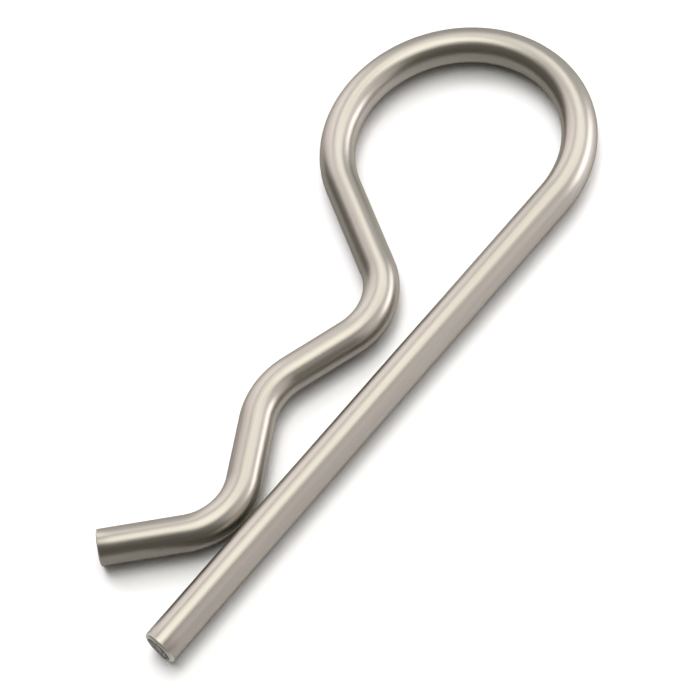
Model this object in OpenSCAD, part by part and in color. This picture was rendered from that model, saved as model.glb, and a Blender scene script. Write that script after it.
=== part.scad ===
// Hitch R clip: one round spring wire bent in a plane into a straight leg, a finger loop and a wavy leg.
// Sizes are in millimetres. The wire's centreline lies in the XY plane, the straight leg lies on the X axis,
// and the origin is the root of the straight leg, where it runs into the loop.

/* [Wire] */
// Diameter of the wire
wire_d = 4; // [3.2:0.1:5]
// How much thinner the wire is through a bend, on its diameter
bend_draw = 0.02; // [0.02:0.01:0.06]
// Chamfer of the two cut ends
end_chamfer = 0.3; // [0.1:0.05:0.6]

/* [Straight leg] */
// Length of the straight leg, from its tip to the start of the loop
leg_len = 66.7; // [60:0.1:100]

/* [Loop] */
// Inside diameter of the finger loop
loop_d = 23.2; // [20:0.2:30]
// Slope of the run from the loop down to the neck, to the straight leg
loop_slope = 58.4; // [52:0.2:65]

/* [Neck] */
// Inside radius of the bend at the neck
neck_r = 5.4; // [4:0.1:8]
// Gap between the neck and the straight leg
neck_gap = 3.1; // [2:0.1:4.2]

/* [Seat] */
// Inside radius of the bend over the seat, which grips the shaft
seat_r = 6; // [4:0.1:9]
// Gap between the top of the seat and the straight leg
seat_gap = 6.3; // [5.5:0.1:8]
// Slope of the run from the neck up to the seat
rise_slope = 19; // [15:0.5:25]
// Slope of the run from the seat down to the lip
fall_slope = 30; // [25:0.5:38]

/* [Lip] */
// Inside radius of the bend at the lip
lip_r = 4.9; // [3:0.1:7]
// Gap between the lip and the straight leg
lip_gap = 0.55; // [0.3:0.05:2]
// Length of the straight flare beyond the lip
flare_len = 9.2; // [5:0.2:15]
// Slope of the flare that leads the clip onto the shaft
flare_slope = 45.5; // [35:0.5:58]

/* [Hidden] */
$fn = 96;
steel = [0.8, 0.77, 0.72];
wire_r = wire_d / 2;

// Bend radii on the wire's centreline
loop_rc = loop_d / 2 + wire_r;
neck_rc = neck_r + wire_r;
seat_rc = seat_r + wire_r;
lip_rc = lip_r + wire_r;

// Straight runs between the bends, as long as the gaps and slopes ask for
neck_run = (loop_rc * (1 + cos(loop_slope)) - neck_rc * (1 - cos(loop_slope)) - neck_gap - wire_d)
    / sin(loop_slope);
rise_run = (seat_gap - neck_gap - (neck_rc + seat_rc) * (1 - cos(rise_slope))) / sin(rise_slope);
fall_run = (seat_gap - lip_gap - (seat_rc + lip_rc) * (1 - cos(fall_slope))) / sin(fall_slope);

// Angle that each bend reaches into the runs on either side of it
bend_lap = 1;

// A straight run of wire along X from the origin
module run(length) {
    rotate([0, 90, 0])
        cylinder(d = wire_d, h = length);
}

// A straight run whose far end is cut off and chamfered
module cut_run(length) {
    rotate([0, 90, 0])
        rotate_extrude()
            polygon([
                [0, 0],
                [wire_r, 0],
                [wire_r, length - end_chamfer],
                [wire_r - end_chamfer, length],
                [0, length]
            ]);
}

// A bend that starts at the origin along X and turns left for a positive angle
module bend(radius, turn) {
    side = sign(turn);
    first = side > 0 ? -90 : 90 - abs(turn);
    translate([0, side * radius, 0])
        rotate_extrude(angle = abs(turn) + 2 * bend_lap, start = first - bend_lap)
            translate([radius, 0])
                rotate(-90)
                    circle(d = wire_d - bend_draw);
}

// Carries what follows a straight run to that run's far end
module after_run(length) {
    translate([length, 0, 0])
        children();
}

// Carries what follows a bend to that bend's far end
module after_bend(radius, turn) {
    side = sign(turn);
    translate([0, side * radius, 0])
        rotate([0, 0, turn])
            translate([0, -side * radius, 0])
                children();
}

// A bend, and the rest of the wire beyond it
module bent_on(radius, turn) {
    bend(radius, turn);
    after_bend(radius, turn)
        children();
}

// A straight run, and the rest of the wire beyond it
module run_on(length) {
    run(length);
    after_run(length)
        children();
}

// The wire from the tip of its straight leg to the tip of its flare
module clip() {
    color(steel) {
        mirror([1, 0, 0])
            cut_run(leg_len);
        bent_on(loop_rc, 180 + loop_slope)
            run_on(neck_run)
                bent_on(neck_rc, -loop_slope - rise_slope)
                    run_on(rise_run)
                        bent_on(seat_rc, rise_slope + fall_slope)
                            run_on(fall_run)
                                bent_on(lip_rc, -fall_slope - flare_slope)
                                    cut_run(flare_len);
    }
}

clip();
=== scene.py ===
"""A hitch R clip of satin drawn spring wire, lying on a white studio floor."""

import logging
import math
from collections.abc import Callable
from dataclasses import dataclass
from enum import Enum

import bmesh
import bpy
from mathutils import Matrix, Vector


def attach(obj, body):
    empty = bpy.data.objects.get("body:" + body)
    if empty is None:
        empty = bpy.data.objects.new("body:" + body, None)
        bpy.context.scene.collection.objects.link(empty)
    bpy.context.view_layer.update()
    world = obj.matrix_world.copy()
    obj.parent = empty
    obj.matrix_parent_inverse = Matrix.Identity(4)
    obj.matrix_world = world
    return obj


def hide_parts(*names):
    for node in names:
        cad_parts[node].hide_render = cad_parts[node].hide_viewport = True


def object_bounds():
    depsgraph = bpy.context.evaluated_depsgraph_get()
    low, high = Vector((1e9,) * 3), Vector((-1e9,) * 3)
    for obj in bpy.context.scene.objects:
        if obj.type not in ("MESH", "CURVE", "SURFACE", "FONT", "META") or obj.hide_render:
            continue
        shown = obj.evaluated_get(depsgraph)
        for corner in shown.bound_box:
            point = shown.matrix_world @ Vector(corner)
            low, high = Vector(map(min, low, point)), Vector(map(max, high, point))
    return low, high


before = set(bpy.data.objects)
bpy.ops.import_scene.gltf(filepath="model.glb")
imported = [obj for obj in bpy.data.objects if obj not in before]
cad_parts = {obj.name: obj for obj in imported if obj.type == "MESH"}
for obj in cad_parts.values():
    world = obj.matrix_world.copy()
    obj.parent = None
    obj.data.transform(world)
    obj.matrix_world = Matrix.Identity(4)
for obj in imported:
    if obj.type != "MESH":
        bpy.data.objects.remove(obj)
CAD_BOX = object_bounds()

log = logging.getLogger("hitch_clip")

MM = 0.001
UP = Vector((0.0, 0.0, 1.0))
COURSE_ATTRIBUTE = "wire_course"

Colour = tuple[float, float, float]
Span = tuple[float, float]


class WireEnd(Enum):
    """The two cut ends of the wire, by the stretch that each one closes."""

    LEG_TIP = 0
    FLARE_TIP = -1


class WireFinish(Enum):
    """The finishes on the wire, by material slot."""

    DRAWN = 0
    SHEARED = 1
    # The burnished ring round each cut end, its pale colour a painted highlight.
    BURNISHED = 2


@dataclass(frozen=True)
class Cut:
    """How one end of the wire was sheared off.

    The dip leans the cut face towards the floor, and the yaw turns it to the left, seen from above.
    The reach is how far beyond the wire's nominal end the cut lies.
    """

    dip: float
    yaw: float
    reach: float
    rim_r: float

    def facing(self, outward: Vector) -> Vector:
        """Find the direction that the cut face looks in.

        Args:
            outward: Direction of the wire, out of its end.

        Returns:
            The cut face's normal.
        """
        left = UP.cross(outward)
        level = outward * math.cos(self.yaw) + left * math.sin(self.yaw)
        return level * math.cos(self.dip) - UP * math.sin(self.dip)


@dataclass(frozen=True)
class Stretch:
    """One straight run or round bend of the wire's centreline, in the XY plane.

    A turn of zero is a straight run; a positive turn bends to the left as the wire is followed.
    The offset is the length of wire before the stretch.
    """

    start: Vector
    heading: float
    length: float
    turn: float
    offset: float

    @property
    def along(self) -> Vector:
        """Direction of the wire at the start of the stretch."""
        return Vector((math.cos(self.heading), math.sin(self.heading), 0.0))

    @property
    def left(self) -> Vector:
        """Direction square to the wire, to its left, at the start of the stretch."""
        return Vector((-math.sin(self.heading), math.cos(self.heading), 0.0))

    @property
    def radius(self) -> float:
        """Signed bend radius of the centreline, positive to the left."""
        return self.length / self.turn

    @property
    def centre(self) -> Vector:
        """Centre of the bend."""
        return self.start + self.left * self.radius

    @property
    def end(self) -> Vector:
        """Last point of the stretch."""
        if not self.turn:
            return self.start + self.along * self.length
        return self.centre + Matrix.Rotation(self.turn, 3, "Z") @ (self.start - self.centre)

    @property
    def leaving(self) -> Vector:
        """Direction of the wire at the end of the stretch."""
        return Matrix.Rotation(self.turn, 3, "Z") @ self.along

    def place(self, point: Vector) -> tuple[float, float]:
        """Find a point's place on the stretch.

        Args:
            point: A point of the wire's surface.

        Returns:
            The distance along the stretch from its start, and the distance to the left of the centreline.
        """
        if not self.turn:
            step = point - self.start
            return step.dot(self.along), step.dot(self.left)
        side = math.copysign(1.0, self.turn)
        arm = point - self.centre
        first = self.start - self.centre
        swept = math.atan2(first.x * arm.y - first.y * arm.x, first.x * arm.x + first.y * arm.y) * side
        middle = abs(self.turn) / 2
        swept = (swept - middle + math.pi) % (2 * math.pi) - math.pi + middle
        return swept * abs(self.radius), side * (abs(self.radius) - arm.xy.length)

    def misses(self, along: float) -> float:
        """Distance by which a place along the stretch lies outside it."""
        return max(-along, along - self.length, 0.0)


class Metal:
    """A metal while its shading is laid out."""

    def __init__(self, name: str) -> None:
        """Start a plain metal."""
        self.material = bpy.data.materials.new(name)
        self.material.use_nodes = True
        self.nodes = self.material.node_tree.nodes
        self.links = self.material.node_tree.links
        self.shader = self.nodes["Principled BSDF"]
        self.shader.inputs["Metallic"].default_value = 1.0

    def object_place(self) -> bpy.types.NodeSocket:
        """Take a point's place in the piece's own frame."""
        return self.nodes.new("ShaderNodeTexCoord").outputs["Object"]

    def wire_place(self, marks_round: float, marks_along: float) -> bpy.types.NodeSocket:
        """Take a point's place across and along the wire.

        Args:
            marks_round: Marks in each metre across the wire.
            marks_along: Marks in each metre along the wire.

        Returns:
            The place, counted in marks.
        """
        course = self.nodes.new("ShaderNodeAttribute")
        course.attribute_name = COURSE_ATTRIBUTE
        counted = self.nodes.new("ShaderNodeMapping")
        counted.inputs["Scale"].default_value = (marks_round, marks_round, marks_along)
        self.links.new(course.outputs["Vector"], counted.inputs["Vector"])
        return counted.outputs["Vector"]

    def noise(self, place: bpy.types.NodeSocket, scale: float, detail: float) -> bpy.types.NodeSocket:
        """Lay a noise pattern over the metal.

        Args:
            place: Where the pattern takes its places from.
            scale: How many times finer than those places it is.
            detail: How many finer layers it has.

        Returns:
            The pattern's value.
        """
        pattern = self.nodes.new("ShaderNodeTexNoise")
        pattern.inputs["Scale"].default_value = scale
        pattern.inputs["Detail"].default_value = detail
        self.links.new(place, pattern.inputs["Vector"])
        return pattern.outputs["Fac"]

    def colour_by(self, pattern: bpy.types.NodeSocket, span: Span, dark: Colour, light: Colour) -> None:
        """Let a pattern set the metal's colour.

        Args:
            pattern: The pattern's value.
            span: The values that give the dark and the light colour.
            dark: Colour at the span's start.
            light: Colour at the span's end.
        """
        tone = self.nodes.new("ShaderNodeValToRGB")
        first, last = tone.color_ramp.elements
        first.position, last.position = span
        first.color = (*dark, 1.0)
        last.color = (*light, 1.0)
        self.links.new(pattern, tone.inputs["Fac"])
        self.links.new(tone.outputs["Color"], self.shader.inputs["Base Color"])

    def roughen_by(self, pattern: bpy.types.NodeSocket, span: Span, roughness: Span) -> None:
        """Let a pattern set the metal's roughness.

        Args:
            pattern: The pattern's value.
            span: The values that give the least and the most roughness.
            roughness: The least and the most roughness.
        """
        rough = self.nodes.new("ShaderNodeMapRange")
        rough.inputs["From Min"].default_value, rough.inputs["From Max"].default_value = span
        rough.inputs["To Min"].default_value, rough.inputs["To Max"].default_value = roughness
        self.links.new(pattern, rough.inputs["Value"])
        self.links.new(rough.outputs["Result"], self.shader.inputs["Roughness"])

    def raise_by(self, pattern: bpy.types.NodeSocket, depth: float) -> None:
        """Let a pattern give the metal a relief.

        Args:
            pattern: The pattern's value.
            depth: Depth of the relief.
        """
        relief = self.nodes.new("ShaderNodeBump")
        relief.inputs["Distance"].default_value = depth
        self.links.new(pattern, relief.inputs["Height"])
        self.links.new(relief.outputs["Normal"], self.shader.inputs["Normal"])


@dataclass(frozen=True)
class DrawnSteel:
    """Satin stainless wire with fine draw marks along it."""

    name: str = "satin_drawn_steel"
    base: Colour = (0.452, 0.425, 0.381)
    edge_tint: Colour = (0.42, 0.4, 0.36)
    streak_dark: float = 0.88
    roughness: Span = (0.31, 0.35)
    marks_round: float = 6000.0
    marks_along: float = 60.0
    mark_detail: float = 3.0
    mark_span: Span = (0.3, 0.7)
    mark_depth: float = 0.0008 * MM

    def material(self) -> bpy.types.Material:
        """Make the finish.

        Returns:
            A metal whose colour, roughness and relief are streaked along the wire.
        """
        metal = Metal(self.name)
        metal.shader.inputs["Specular Tint"].default_value = (*self.edge_tint, 1.0)
        streaks = metal.noise(metal.wire_place(self.marks_round, self.marks_along), 1.0, self.mark_detail)
        dark = tuple(value * self.streak_dark for value in self.base)
        metal.colour_by(streaks, self.mark_span, dark, self.base)
        metal.roughen_by(streaks, self.mark_span, self.roughness)
        metal.raise_by(streaks, self.mark_depth)
        return metal.material


@dataclass(frozen=True)
class ShearedSteel:
    """The dull, torn face that a wire cutter leaves."""

    name: str = "sheared_steel"
    light: Colour = (0.4, 0.39, 0.34)
    dark: Colour = (0.05, 0.05, 0.042)
    roughness: float = 0.48
    grain: float = 2600.0
    grain_detail: float = 4.0
    grain_span: Span = (0.42, 0.62)
    grain_depth: float = 0.05 * MM

    def material(self) -> bpy.types.Material:
        """Make the finish.

        Returns:
            A dark, grainy metal.
        """
        metal = Metal(self.name)
        metal.shader.inputs["Roughness"].default_value = self.roughness
        grains = metal.noise(metal.object_place(), self.grain, self.grain_detail)
        metal.colour_by(grains, self.grain_span, self.dark, self.light)
        metal.raise_by(grains, self.grain_depth)
        return metal.material


@dataclass(frozen=True)
class BurnishedSteelPaintedHighlight:
    """The rim that the cutter's blade rubs round a cut end: burnished, and paler than the wire as a
    painted highlight.
    """

    name: str = "burnished_steel_painted_highlight"
    # Painted highlight: this base is paler than the drawn wire's so that the rim looks lit.
    base: Colour = (0.66, 0.63, 0.56)
    roughness: Span = (0.34, 0.48)
    patch: float = 1500.0
    patch_detail: float = 2.0
    patch_span: Span = (0.0, 1.0)

    def material(self) -> bpy.types.Material:
        """Make the finish.

        Returns:
            A pale metal with uneven gloss; the paleness is a painted highlight.
        """
        metal = Metal(self.name)
        metal.shader.inputs["Base Color"].default_value = (*self.base, 1.0)
        patches = metal.noise(metal.object_place(), self.patch, self.patch_detail)
        metal.roughen_by(patches, self.patch_span, self.roughness)
        return metal.material


@dataclass
class SpringClip:
    """One round wire bent in a plane: a straight leg, a finger loop and a wavy leg."""

    wire_r: float = 2.0 * MM
    leg_len: float = 66.7 * MM
    loop_r: float = 13.6 * MM
    loop_slope: float = math.radians(58.4)
    neck_r: float = 7.4 * MM
    neck_gap: float = 3.1 * MM
    seat_r: float = 8.0 * MM
    seat_gap: float = 6.3 * MM
    rise_slope: float = math.radians(19.0)
    fall_slope: float = math.radians(30.0)
    lip_r: float = 6.9 * MM
    lip_gap: float = 0.55 * MM
    flare_len: float = 9.2 * MM
    flare_slope: float = math.radians(45.5)
    leg_cut: Cut = Cut(dip=math.radians(1.0), yaw=math.radians(-4.0), reach=0.03 * MM, rim_r=0.32 * MM)
    flare_cut: Cut = Cut(dip=math.radians(-6.0), yaw=math.radians(3.0), reach=0.15 * MM, rim_r=0.06 * MM)
    cut_spare: float = 0.8 * MM
    rim_segments: int = 4
    # Width of the burnished ring round each cut end, which carries a painted highlight.
    burnish_highlight_w: float = 0.12 * MM
    tear_depth: float = 0.06 * MM
    tear_rings: int = 4
    sides: int = 64
    run_step: float = 2.0 * MM
    run_steps_least: int = 2
    bend_step: float = math.radians(2.5)
    bend_steps_least: int = 4
    merge_gap: float = 0.001 * MM
    smooth_angle: float = math.radians(40.0)

    def course(self) -> list[Stretch]:
        """Work out the wire's centreline.

        Returns:
            The runs and bends in order, from the tip of the straight leg to the tip of the flare.
        """
        wire_d = 2 * self.wire_r
        neck_run = (
            self.loop_r * (1 + math.cos(self.loop_slope)) - self.neck_r * (1 - math.cos(self.loop_slope))
            - self.neck_gap - wire_d
        ) / math.sin(self.loop_slope)
        rise_run = (
            self.seat_gap - self.neck_gap - (self.neck_r + self.seat_r) * (1 - math.cos(self.rise_slope))
        ) / math.sin(self.rise_slope)
        fall_run = (
            self.seat_gap - self.lip_gap - (self.seat_r + self.lip_r) * (1 - math.cos(self.fall_slope))
        ) / math.sin(self.fall_slope)
        plan = [
            (self.leg_len, 0.0),
            (self.loop_r, math.pi + self.loop_slope),
            (neck_run, 0.0),
            (self.neck_r, -self.loop_slope - self.rise_slope),
            (rise_run, 0.0),
            (self.seat_r, self.rise_slope + self.fall_slope),
            (fall_run, 0.0),
            (self.lip_r, -self.fall_slope - self.flare_slope),
            (self.flare_len, 0.0),
        ]
        stretches = []
        start = Vector((-self.leg_len, 0.0, 0.0))
        heading = 0.0
        offset = 0.0
        for size, turn in plan:
            length = size * abs(turn) if turn else size
            stretch = Stretch(start, heading, length, turn, offset)
            stretches.append(stretch)
            start = stretch.end
            heading += turn
            offset += length
        return stretches

    def build(self) -> bpy.types.Object:
        """Model the wire: a ring drawn along the runs, spun round the bends and closed at both ends.

        Returns:
            The finished piece.
        """
        stretches = self.course()
        bpy.ops.object.select_all(action="DESELECT")
        bpy.ops.mesh.primitive_circle_add(
            vertices=self.sides,
            radius=self.wire_r,
            location=stretches[0].start - stretches[0].along * self.cut_spare,
            rotation=(0.0, math.pi / 2, 0.0),
        )
        piece = bpy.context.object
        piece.name = "spring_wire_clip"
        bpy.ops.object.transform_apply(location=True, rotation=True, scale=True)
        bpy.ops.object.mode_set(mode="EDIT")
        bpy.ops.mesh.select_all(action="SELECT")
        for stretch in stretches:
            if stretch.turn:
                self._spin(stretch)
            else:
                self._draw(stretch, stretch is stretches[0], stretch is stretches[-1])
        for end in WireEnd:
            self._cut_end(piece, *self._tip(end))
        bpy.ops.mesh.select_all(action="SELECT")
        bpy.ops.mesh.remove_doubles(threshold=self.merge_gap)
        bpy.ops.mesh.normals_make_consistent(inside=False)
        bpy.ops.object.mode_set(mode="OBJECT")
        bpy.ops.object.shade_smooth_by_angle(angle=self.smooth_angle)
        self._mark_course(piece, stretches)
        return piece

    def _tip(self, end: WireEnd) -> tuple[Vector, Vector, Cut]:
        """Look up one end of the wire.

        Args:
            end: Which end.

        Returns:
            The centre of the cut, the wire's direction outwards, and the cut.
        """
        stretch = self.course()[end.value]
        if end is WireEnd.LEG_TIP:
            nominal, outward, cut = stretch.start, -stretch.along, self.leg_cut
        else:
            nominal, outward, cut = stretch.end, stretch.leaving, self.flare_cut
        return nominal + outward * cut.reach, outward, cut

    def _draw(self, run: Stretch, first: bool, last: bool) -> None:
        """Draw the selected ring along a straight run, with spare wire to cut off at either tip.

        Args:
            run: The run to follow.
            first: Whether the wire starts with this run.
            last: Whether the wire ends with this run.
        """
        steps = max(self.run_steps_least, round(run.length / self.run_step))
        pace = run.length / steps
        for step in range(steps):
            at_tip = (first and step == 0) or (last and step == steps - 1)
            reach = pace + self.cut_spare if at_tip else pace
            bpy.ops.mesh.extrude_region_move(TRANSFORM_OT_translate={"value": run.along * reach})

    def _spin(self, bend: Stretch) -> None:
        """Spin the selected ring round a bend.

        Args:
            bend: The bend to follow.
        """
        steps = max(self.bend_steps_least, round(abs(bend.turn) / self.bend_step))
        bpy.ops.mesh.spin(steps=steps, angle=-bend.turn, center=bend.centre, axis=UP)

    def _cut_end(self, piece: bpy.types.Object, tip: Vector, outward: Vector, cut: Cut) -> None:
        """Shear one end of the wire off, roll its rim and leave a torn core in a burnished ring, which is
        later given a painted highlight.

        Args:
            piece: The wire, in edit mode.
            tip: Centre of the cut.
            outward: Direction out of the end.
            cut: How the end was sheared.
        """
        reach = 3 * self.wire_r
        self._select_faces(piece, lambda face: (face.calc_center_median() - tip).length < reach)
        bpy.ops.mesh.bisect(plane_co=tip, plane_no=cut.facing(outward), use_fill=True, clear_outer=True)
        self._select_cap(piece, tip)
        bpy.ops.mesh.bevel(offset=cut.rim_r, segments=self.rim_segments, profile=0.5, affect="EDGES")
        self._select_cap(piece, tip)
        bpy.ops.mesh.inset(thickness=self.burnish_highlight_w)
        bpy.ops.mesh.inset(thickness=self.tear_depth, depth=-self.tear_depth)
        core_r = self.wire_r - cut.rim_r - self.burnish_highlight_w - self.tear_depth
        for _ in range(self.tear_rings):
            bpy.ops.mesh.inset(thickness=core_r / (self.tear_rings + 1))
        bpy.ops.mesh.poke()

    def _select_faces(self, piece: bpy.types.Object, wanted: Callable[[bmesh.types.BMFace], bool]) -> None:
        """Select the wire's faces that pass a test, and no others.

        Args:
            piece: The wire, in edit mode.
            wanted: The test.
        """
        bpy.ops.mesh.select_mode(type="FACE")
        bpy.ops.mesh.select_all(action="DESELECT")
        shape = bmesh.from_edit_mesh(piece.data)
        for face in shape.faces:
            face.select_set(wanted(face))
        shape.select_flush_mode()
        bmesh.update_edit_mesh(piece.data)

    def _select_cap(self, piece: bpy.types.Object, tip: Vector) -> None:
        """Select the single many-sided face that closes an end.

        Args:
            piece: The wire, in edit mode.
            tip: Centre of the cut.
        """
        near = self.wire_r / 4
        self._select_faces(
            piece, lambda face: len(face.verts) > 4 and (face.calc_center_median() - tip).length < near
        )

    def _mark_course(self, piece: bpy.types.Object, stretches: list[Stretch]) -> None:
        """Keep, on every point, its place across and along the wire, for marks that follow the wire.

        Args:
            piece: The wire.
            stretches: The wire's centreline.
        """
        places = piece.data.attributes.new(COURSE_ATTRIBUTE, "FLOAT_VECTOR", "POINT")
        values = []
        for vertex in piece.data.vertices:
            found = []
            for stretch in stretches:
                along, side = stretch.place(vertex.co)
                found.append((stretch.misses(along) + abs(side), along + stretch.offset, side))
            _, along, side = min(found)
            values.extend((side, vertex.co.z, along))
        places.data.foreach_set("vector", values)

    def dress(self, piece: bpy.types.Object) -> None:
        """Give the wire its finish, and the torn core and burnished rim of both ends theirs; the rim's
        paler colour is a painted highlight.

        Args:
            piece: The finished wire.
        """
        finishes = {
            WireFinish.DRAWN: DrawnSteel(),
            WireFinish.SHEARED: ShearedSteel(),
            WireFinish.BURNISHED: BurnishedSteelPaintedHighlight(),
        }
        for slot in WireFinish:
            piece.data.materials.append(finishes[slot].material())
        end_zone = 1.2 * self.wire_r
        least_facing = 0.15
        for end in WireEnd:
            tip, outward, cut = self._tip(end)
            core_r = self.wire_r - cut.rim_r - self.burnish_highlight_w
            for face in piece.data.polygons:
                out = (face.center - tip).length
                if out > end_zone or face.normal.dot(outward) < least_facing:
                    continue
                # Faces round the torn core get the burnished finish, whose pale colour is a painted
                # highlight.
                finish = WireFinish.SHEARED if out < core_r else WireFinish.BURNISHED
                face.material_index = finish.value


@dataclass(frozen=True)
class Viewpoint:
    """The camera's place, as the photograph was taken."""

    aim: Vector = Vector((-27.618, 6.459, 0.0)) * MM
    distance: float = 360.0 * MM
    elevation: float = math.radians(56.171)
    bearing: float = math.radians(34.553)
    roll: float = math.radians(18.691)
    lens: float = 172.29
    sensor_width: float = 36.0
    clip_start: float = 10.0 * MM

    @property
    def right(self) -> Vector:
        """Level direction to the camera's right."""
        return Vector((math.cos(self.bearing), -math.sin(self.bearing), 0.0))

    @property
    def away(self) -> Vector:
        """Level direction away from the camera."""
        return Vector((math.sin(self.bearing), math.cos(self.bearing), 0.0))

    def toward(self, azimuth: float, elevation: float) -> Vector:
        """Find a direction round the object.

        Args:
            azimuth: Angle from the away direction, clockwise from above.
            elevation: Angle above the floor.

        Returns:
            The direction as a unit vector.
        """
        level = self.away * math.cos(azimuth) + self.right * math.sin(azimuth)
        return level * math.cos(elevation) + UP * math.sin(elevation)

    def build(self) -> bpy.types.Object:
        """Set up the camera.

        Returns:
            The camera.
        """
        forward = self.toward(0.0, -self.elevation)
        upright = self.toward(0.0, math.pi / 2 - self.elevation)
        side = self.right * math.cos(self.roll) - upright * math.sin(self.roll)
        top = self.right * math.sin(self.roll) + upright * math.cos(self.roll)
        place = self.aim - forward * self.distance
        data = bpy.data.cameras.new("photo_camera")
        data.lens = self.lens
        data.sensor_width = self.sensor_width
        data.clip_start = self.clip_start
        camera = bpy.data.objects.new("photo_camera", data)
        bpy.context.scene.collection.objects.link(camera)
        turn = Matrix((side, top, -forward)).transposed()
        camera.matrix_world = Matrix.Translation(place) @ turn.to_4x4()
        bpy.context.scene.camera = camera
        return camera


@dataclass(frozen=True)
class Softbox:
    """A lit panel that faces the object, with its angles in degrees and its sizes in metres."""

    name: str
    azimuth: float
    elevation: float
    width: float
    height: float
    radiance: float
    colour: Colour
    distance: float = 1.1

    def build(self, view: Viewpoint) -> bpy.types.Object:
        """Hang the panel.

        Args:
            view: The camera that the panel's directions are given from.

        Returns:
            The lamp.
        """
        data = bpy.data.lights.new(self.name, "AREA")
        data.shape = "RECTANGLE"
        data.size = self.width
        data.size_y = self.height
        data.energy = self.radiance * math.pi * self.width * self.height
        data.color = self.colour
        lamp = bpy.data.objects.new(self.name, data)
        bpy.context.scene.collection.objects.link(lamp)
        out = view.toward(math.radians(self.azimuth), math.radians(self.elevation))
        lamp.location = view.aim + out * self.distance
        lamp.rotation_euler = out.to_track_quat("Z", "Y").to_euler()
        return lamp


@dataclass
class Studio:
    """White floor, soft panels and dim surroundings."""

    view: Viewpoint
    floor_z: float
    floor_size: float = 6.0
    floor_colour: Colour = (0.93, 0.94, 0.965)
    floor_sheen: float = 0.65
    floor_roughness: float = 0.48
    room: Colour = (0.15, 0.14, 0.122)

    def panels(self) -> list[Softbox]:
        """List the lit panels round the object."""
        return [
            Softbox(
                "overhead_softbox", azimuth=48.0, elevation=71.0, width=1.05, height=1.45, radiance=1.7,
                colour=(1.0, 0.985, 0.94),
            ),
            Softbox(
                "right_panel", azimuth=86.0, elevation=11.0, width=0.9, height=0.5, radiance=3.1,
                colour=(0.98, 0.96, 1.0),
            ),
            Softbox(
                "near_right_panel", azimuth=114.0, elevation=28.0, width=1.2, height=1.1, radiance=0.87,
                colour=(0.98, 0.93, 0.95),
            ),
            Softbox(
                "back_panel", azimuth=25.0, elevation=28.0, width=1.75, height=1.1, radiance=0.66,
                colour=(0.96, 0.97, 1.0),
            ),
            Softbox(
                "far_left_panel", azimuth=-24.0, elevation=26.0, width=0.6, height=1.05, radiance=1.5,
                colour=(1.0, 0.95, 0.98),
            ),
            Softbox(
                "left_top_panel", azimuth=-58.0, elevation=82.0, width=0.55, height=1.1, radiance=0.85,
                colour=(0.98, 1.0, 0.94),
            ),
        ]

    def build(self) -> list[bpy.types.Object]:
        """Lay the floor, hang the panels and set the room's own light.

        Returns:
            The floor and the lamps.
        """
        bpy.ops.object.select_all(action="DESELECT")
        bpy.ops.mesh.primitive_plane_add(size=self.floor_size, location=(0.0, 0.0, self.floor_z))
        floor = bpy.context.object
        floor.name = "studio_floor"
        bpy.ops.object.transform_apply(location=True, rotation=True, scale=True)
        floor.data.materials.append(self._floor_material())
        lamps = [panel.build(self.view) for panel in self.panels()]
        world = bpy.data.worlds.new("studio_room")
        world.use_nodes = True
        backdrop = world.node_tree.nodes["Background"]
        backdrop.inputs["Color"].default_value = (*self.room, 1.0)
        bpy.context.scene.world = world
        bpy.context.scene.view_settings.view_transform = "Standard"
        return [floor, *lamps]

    def _floor_material(self) -> bpy.types.Material:
        """Make the floor's satin white.

        Returns:
            A white board with a soft sheen.
        """
        material = bpy.data.materials.new("white_floor")
        material.use_nodes = True
        shader = material.node_tree.nodes["Principled BSDF"]
        shader.inputs["Base Color"].default_value = (*self.floor_colour, 1.0)
        shader.inputs["Metallic"].default_value = self.floor_sheen
        shader.inputs["Roughness"].default_value = self.floor_roughness
        return material


def main() -> None:
    """Build the clip and its studio."""
    logging.basicConfig(level=logging.INFO, format="%(name)s: %(message)s")
    clip = SpringClip()
    wire = clip.build()
    clip.dress(wire)
    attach(wire, "root")
    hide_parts("clip")
    log.info("%s: %d faces", wire.name, len(wire.data.polygons))
    view = Viewpoint()
    camera = view.build()
    log.info("%s: %.1f mm lens", camera.name, camera.data.lens)
    for piece in Studio(view, floor_z=CAD_BOX[0][2]).build():
        log.info("%s: in place", piece.name)


if __name__ == "__main__":
    main()
